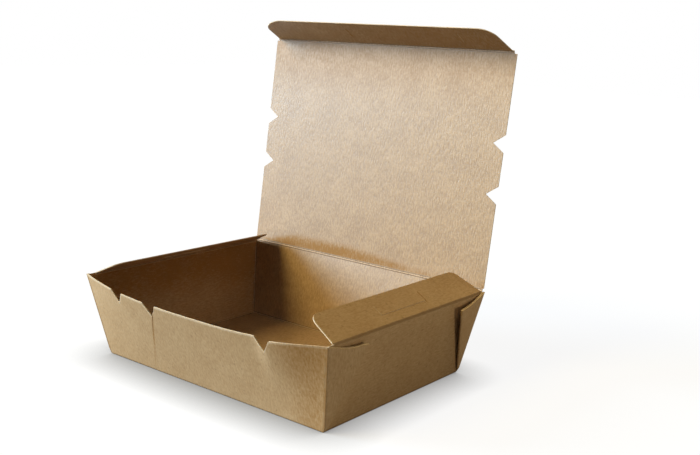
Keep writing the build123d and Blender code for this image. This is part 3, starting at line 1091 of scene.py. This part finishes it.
# %% Lid
LID_LEAN = math.radians(7.3)
LID_LENGTH = (TUCK_AXIS - LID_AXIS).length
LID_OVERHANG = 0.95 * MM
LID_CORNER_CUT = 0.8 * MM
WALL_LENGTH = EDGE.length
LID_NOTCHES = [LID_AXIS.y - NOTCH_PITCH / 2, LID_AXIS.y + NOTCH_PITCH / 2]

lid_panel = Panel(LID_AXIS, (-1, 0, 0), (0, math.sin(LID_LEAN), math.cos(LID_LEAN)),
                  (0, FOOT.y + WALL_LENGTH), (-1, 0), (0, 1))


def lid_side(s):
    """Half the lid's width at a distance from the hinge, with the V notches."""
    half = RIM_WIDTH / 2 + LID_OVERHANG * s / LID_LENGTH
    deepest = max(1 - abs(s - notch) / NOTCH_HALF_WIDTH for notch in LID_NOTCHES)
    corner = max(0.0, LID_CORNER_CUT - (s - 0.5 * MM))
    return half - corner - NOTCH_DEPTH * max(0.0, deepest)


def lid_hinge_band_and_painted_shade(a, s):
    """A darker, duller band along the hinge, mostly at the left, and painted shade thinly below the top
    edge.
    """
    x, from_top = -a, LID_LENGTH - s
    to_right = ease((x + 20 * MM) / (80 * MM))
    reach = 12 * MM * ease((x + 97 * MM) / (45 * MM)) * lerp(1.0, 0.5, to_right) + 0.1 * MM
    hinge = ease(1.5 * (1 - s / reach)) * lerp(1.0, 0.5, to_right)
    # Painted shade, thinly below the top edge.
    top = 0.35 * ease(1 - from_top / (50 * MM))
    return hinge + top


def make_lid():
    breaks = [1.3 * MM]
    for notch in LID_NOTCHES:
        breaks += [notch - NOTCH_HALF_WIDTH, notch, notch + NOTCH_HALF_WIDTH]
    rows = stations(CREASE_LEG, LID_LENGTH - CREASE_LEG, breaks, STEP)
    limit = RIM_WIDTH / 2 - NOTCH_DEPTH - 2 * MM
    return lid_panel.make("lid_board", rows, stations(-limit, limit, [], STEP),
                          lambda s: (-lid_side(s), lid_side(s)), dull_and_painted_shade=lid_hinge_band_and_painted_shade)


lid_board = make_lid()
print("lid faces:", len(lid_board.data.polygons))

# %% Tuck flap
TUCK_LENGTH, TUCK_CORNER = 24.5 * MM, 11.0 * MM
TUCK_ROOT, TUCK_TIP = 91.35 * MM, 87.06 * MM
TUCK_RISE = math.radians(30)
PANEL_START = 0.5 * MM
DOG_EAR = Vector((89.5 * MM, 1.2 * MM)), Vector((75 * MM, 24.5 * MM))    # ends of the bend line
DOG_EAR_ANGLE = math.radians(17)

tuck_panel = Panel(TUCK_AXIS, (-1, 0, 0), (0, -math.cos(TUCK_RISE), math.sin(TUCK_RISE)),
                   (0, FOOT.y + WALL_LENGTH + LID_LENGTH), (-1, 0), (0, 1))


def make_tuck_flap():
    side, middle, round_rows = rounded_side(PANEL_START, TUCK_ROOT, TUCK_LENGTH, TUCK_TIP, TUCK_CORNER)
    cuts = [lock_cut(a, 9.3 * MM, 8.8 * MM, end) for a, end in ((-TAB_OFFSET, 0), (TAB_OFFSET, -1))]
    rows = stations(CREASE_LEG, TUCK_LENGTH, round_rows + cuts[0][4], STEP)
    limit = middle - 2 * MM
    inner = stations(-limit, limit, cuts[0][3] + cuts[1][3], STEP)
    bend_way = (DOG_EAR[1] - DOG_EAR[0]).normalized()

    def dog_ear(a, s):
        """The left corner is bent inwards beyond a line from the crease to the free edge."""
        beyond = (a - DOG_EAR[0].x) * bend_way.y - (s - DOG_EAR[0].y) * bend_way.x
        return max(0.0, beyond) * math.sin(DOG_EAR_ANGLE)

    def shade(a):
        """Painted shade on the flap's inside, all over and most of all on the right."""
        return lerp(0.75, 0.3, ease((a + 70 * MM) / (150 * MM)))

    return tuck_panel.make("tuck_flap_board", rows, inner, lambda s: (-side(s), side(s)),
                           lambda a, s: any(rule[0](a, s) for rule in cuts),
                           lambda a, s: -sum(rule[1](a, s) for rule in cuts) - dog_ear(a, s),
                           lambda a, s: max(rule[2](a, s) for rule in cuts), lambda a, s: shade(a))


tuck_board = make_tuck_flap()
print("tuck flap faces:", len(tuck_board.data.polygons))

# %% Side flaps
FLAP_LENGTH, FLAP_CORNER = 20.5 * MM, 6.5 * MM
FLAP_FRONT_TAPER, FLAP_BACK_TAPER = 1.6 * MM, 6.4 * MM
FLAP_RISE = {1: math.radians(31), -1: math.radians(25)}
LEFT_FLAP_PAINTED_SHADE = 0.95            # share of painted shade, all over the left flap's inside


def flap_panel(side):
    """Panel of the right flap for side 1 and of the left flap for side -1."""
    rise = FLAP_RISE[side]
    origin = (side * SIDE_AXIS.x, 0, SIDE_AXIS.z)
    return Panel(origin, (0, side, 0), (-side * math.cos(rise), 0, math.sin(rise)),
                 (side * (FOOT.x + WALL_LENGTH), 0), (0, side), (side, 0))


def make_side_flap(side, name):
    front, front_middle, round_rows = rounded_side(
        PANEL_START, -FLAP_FRONT, FLAP_LENGTH, -FLAP_FRONT - FLAP_FRONT_TAPER, FLAP_CORNER)
    back, back_middle, _ = rounded_side(
        PANEL_START, FLAP_BACK, FLAP_LENGTH, FLAP_BACK - FLAP_BACK_TAPER, FLAP_CORNER)
    cut, lift, cut_painted_shade, across, cut_rows = lock_cut(0, 7.0 * MM, 7.2 * MM, side)
    rows = stations(CREASE_LEG, FLAP_LENGTH, round_rows + cut_rows, STEP)
    low, high = -front_middle + 2 * MM, back_middle - 2 * MM
    if side < 0:
        low, high = -high, -low
    inner = stations(low, high, across, STEP)

    def sides(s):
        return (-front(s), back(s)) if side > 0 else (-back(s), front(s))

    dull_and_painted_shade = (lambda a, s: LEFT_FLAP_PAINTED_SHADE) if side < 0 else None
    return flap_panel(side).make(name, rows, inner, sides, cut, lift, cut_painted_shade, dull_and_painted_shade,
                                 (1.0, 0.0) if side > 0 else (0.0, 1.0))


right_flap_board = make_side_flap(1, "right_side_flap_board")
left_flap_board = make_side_flap(-1, "left_side_flap_board")
print("side flap faces:", len(right_flap_board.data.polygons))

# %% [markdown]
# A crease is a line pressed into the board from its outside before folding. It leaves a low bead on
# the inside, with a fine line of painted shade on each side. The four creases that move get strips
# of their own, which bend between their two panels. One Geometry Nodes tree makes all four: a flat
# grid is laid along the crease, bent from one panel's direction into the other's, and raised in the
# middle. Named inputs carry everything that differs from crease to crease.

# %% Crease tree
def crease_tree():
    t = Tree("crease_strip")
    start, end = t.vector_value("Start"), t.vector_value("End")
    before, after, inside = t.vector_value("Before"), t.vector_value("After"), t.vector_value("Inside")
    leg, width = t.value("Leg", CREASE_LEG), t.value("Bead width", 0.001)
    height, wander, seed = t.value("Bead height", 0.0002), t.value("Wander", 0.0001), t.value("Seed", 0.0)
    strength = t.value("Strength", 1.0)
    flat_start, flat_end = t.vector_value("Blank start"), t.vector_value("Blank end")
    flat_up = t.vector_value("Blank up")
    grid = t.nodes.new("GeometryNodeMeshGrid")
    for name, number in (("Size X", 1.0), ("Size Y", 1.0), ("Vertices X", 121), ("Vertices Y", 13)):
        grid.inputs[name].default_value = number
    u, v, _ = t.split(t.vector("ADD", t.position(), (0.5, 0.5, 0.0)))
    rest = t.math("SUBTRACT", 1.0, v)
    along = t.vector("ADD", t.scaled(start, t.math("SUBTRACT", 1.0, u)), t.scaled(end, u))
    across = t.vector("ADD", t.scaled(before, t.math("MULTIPLY", rest, rest)),
                      t.scaled(after, t.math("MULTIPLY", v, v)))
    away = t.math("ABSOLUTE", t.math("SUBTRACT", v, 0.5))
    away = t.math("MULTIPLY", away, t.math("MULTIPLY", leg, 2.0))
    ridge = t.math("SUBTRACT", 1.0, t.math("DIVIDE", away, t.math("MULTIPLY", width, 0.5)))
    ridge = t.math("MAXIMUM", ridge, 0.0)
    ridge = t.math("SINE", t.math("MULTIPLY", ridge, math.pi / 2))
    uneven = t.noise(t.vector("ADD", t.scaled(along, 400.0), t.combine(seed, v, 0.0)))
    swing = t.math("MULTIPLY", uneven, t.math("MULTIPLY", wander, 2.0))
    rise = t.math("MULTIPLY", ridge, t.math("ADD", height, swing))
    placed = t.vector("ADD", t.vector("ADD", along, across), t.scaled(inside, rise))
    mark = t.math("MULTIPLY", strength, t.math("SUBTRACT", 1.0, t.math("DIVIDE", away, leg)))
    geometry = t.store(grid.outputs["Mesh"], "crease", mark, "FLOAT", "POINT")
    flat = t.vector("ADD", t.scaled(flat_start, t.math("SUBTRACT", 1.0, u)), t.scaled(flat_end, u))
    flat = t.vector("ADD", flat, t.scaled(flat_up, t.math("MULTIPLY", t.math("SUBTRACT", v, rest), leg)))
    geometry = t.store(geometry, "blank", flat, "FLOAT2", "CORNER")
    t.finish(t.node("GeometryNodeSetPosition", (geometry, None, placed)))
    return t


def turn_outside(thing, inside):
    """Turns a strip's faces so that they look away from its inside."""
    total = sum((face.normal * face.area for face in thing.data.polygons), Vector())
    if total.dot(inside) > 0:
        thing.data.flip_normals()


CREASES = crease_tree()


def make_crease(name, panel, ends, before, after, seed, strength=1.0, bead=0.15 * MM):
    """Strip along a panel's crease. before and after are unit vectors into the two panels."""
    thing = bpy.data.objects.new(name, bpy.data.meshes.new(name))
    bpy.context.scene.collection.objects.link(thing)
    before, after = Vector(before) * CREASE_LEG, Vector(after) * CREASE_LEG
    inside = (panel.along.cross(before).normalized() - panel.out).normalized()
    CREASES.apply(thing, Start=panel.point(ends[0], 0), End=panel.point(ends[1], 0), Before=before,
                  After=after, Inside=inside, Seed=seed, Strength=strength, **{
                      "Bead height": bead, "Blank up": panel.blank[2].to_3d(),
                      "Blank start": Vector(panel.place(ends[0], 0)).to_3d(),
                      "Blank end": Vector(panel.place(ends[1], 0)).to_3d()})
    bake_modifiers(thing)
    turn_outside(thing, inside)
    return thicken(thing)


def wall_down(flare, axis):
    """Unit vector from a rim crease down into its wall; axis is 0 for a side wall and 1 for the back."""
    down = Vector((0, 0, -1))
    down[axis] = -flare
    return down.normalized()


LID_ENDS = (-92.4 * MM, 92.4 * MM)    # of the two creases that run the lid's whole width
hinge_crease = make_crease("lid_crease", lid_panel, LID_ENDS, wall_down(FLARE_Y, 1), lid_panel.up, 3.0)
tuck_crease = make_crease("tuck_crease", tuck_panel, LID_ENDS, -lid_panel.up, tuck_panel.up, 17.0,
                          bead=0.35 * MM)
flap_creases = {}
for side, name in ((1, "right"), (-1, "left")):
    ends = (FLAP_FRONT, FLAP_BACK) if side > 0 else (-FLAP_BACK, -FLAP_FRONT)
    flap_creases[name] = make_crease(f"{name}_flap_crease", flap_panel(side), ends,
                                     wall_down(side * FLARE_X, 0), flap_panel(side).up, 30.0 + side,
                                     {1: 1.0, -1: 0.35}[side])
print("crease strips:", 2 + len(flap_creases))

# %% [markdown]
# Last, each sheet is handed to the body that carries it, and takes the place of the plain solid,
# which has the same form. The crease strips only have their transforms baked: they stay as made and
# belong to no body.

# %% Hand over to the frame
def dress(thing, body, *nodes):
    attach(thing, body)
    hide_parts(*nodes)


def bend_between(thing, panel, before):
    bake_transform(thing)


dress(tray_board, "tray", "tray")
dress(lid_board, "lid", "lid")
dress(tuck_board, "tuck_flap", "tuck_flap")
dress(right_flap_board, "right_side_flap", "right_side_flap")
dress(left_flap_board, "left_side_flap", "left_side_flap")
bend_between(hinge_crease, lid_panel, wall_down(FLARE_Y, 1))
bend_between(tuck_crease, tuck_panel, -lid_panel.up)
for side, name in ((1, "right"), (-1, "left")):
    bend_between(flap_creases[name], flap_panel(side),
                 wall_down(side * FLARE_X, 0))
